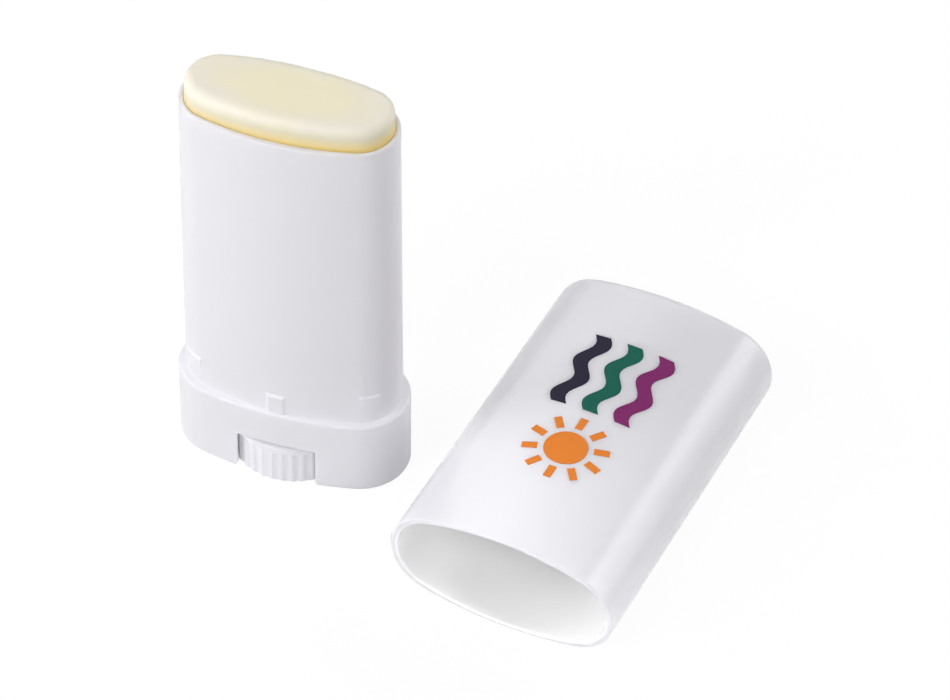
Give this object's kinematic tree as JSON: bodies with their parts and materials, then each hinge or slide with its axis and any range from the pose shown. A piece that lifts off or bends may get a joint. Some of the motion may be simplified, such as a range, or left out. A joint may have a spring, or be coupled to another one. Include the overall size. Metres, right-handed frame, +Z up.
{
  "type": "sunscreen stick",
  "caption": "Twist-up sunscreen stick in an oval white barrel with a fluted thumb wheel in its foot, the cream stick wound slightly out, and the printed cap lying beside it.",
  "frame": {"origin": "centre of the foot's underside, on the surface that the stick stands on", "axes": "+Z up along the barrel, +X along its width towards the lying cap, -Y out of the front face that the picture shows"},
  "size_m": [0.0871, 0.0634, 0.0726],
  "materials": {
    "white_plastic": "satin moulded polypropylene",
    "gloss_white_plastic": "polished moulded polypropylene",
    "sunscreen": "soft waxy cream",
    "orange_ink": "screen-printed ink",
    "navy_ink": "screen-printed ink",
    "green_ink": "screen-printed ink",
    "purple_ink": "screen-printed ink"
  },
  "bodies": {
    "barrel": {"barrel": "white_plastic"},
    "thumb_wheel": {"thumb_wheel": "white_plastic"},
    "elevator": {"platform": "white_plastic", "sunscreen_stick": "sunscreen"},
    "cap": {"cap": "gloss_white_plastic", "print_orange": "orange_ink", "print_navy": "navy_ink", "print_green": "green_ink", "print_purple": "purple_ink"}
  },
  "joints": [
    {"name": "wheel_turn", "type": "hinge", "parent": "barrel", "child": "thumb_wheel", "pos_m": [0, 0, 0.0034], "axis": [0, 0, -1], "range_deg": [-541, 5401]},
    {"name": "stick_wind", "type": "slide", "parent": "barrel", "child": "elevator", "axis": [0, 0, 1], "range_m": [-0.0045, 0.045]},
    {"name": "cap_lift", "type": "slide", "parent": "barrel", "child": "cap", "axis": [0, 0, 1], "range_m": [0, 0.08]}
  ],
  "couplings": [
    {"joint": "wheel_turn", "follows": "stick_wind", "rad_per_m": 2094.4}
  ]
}
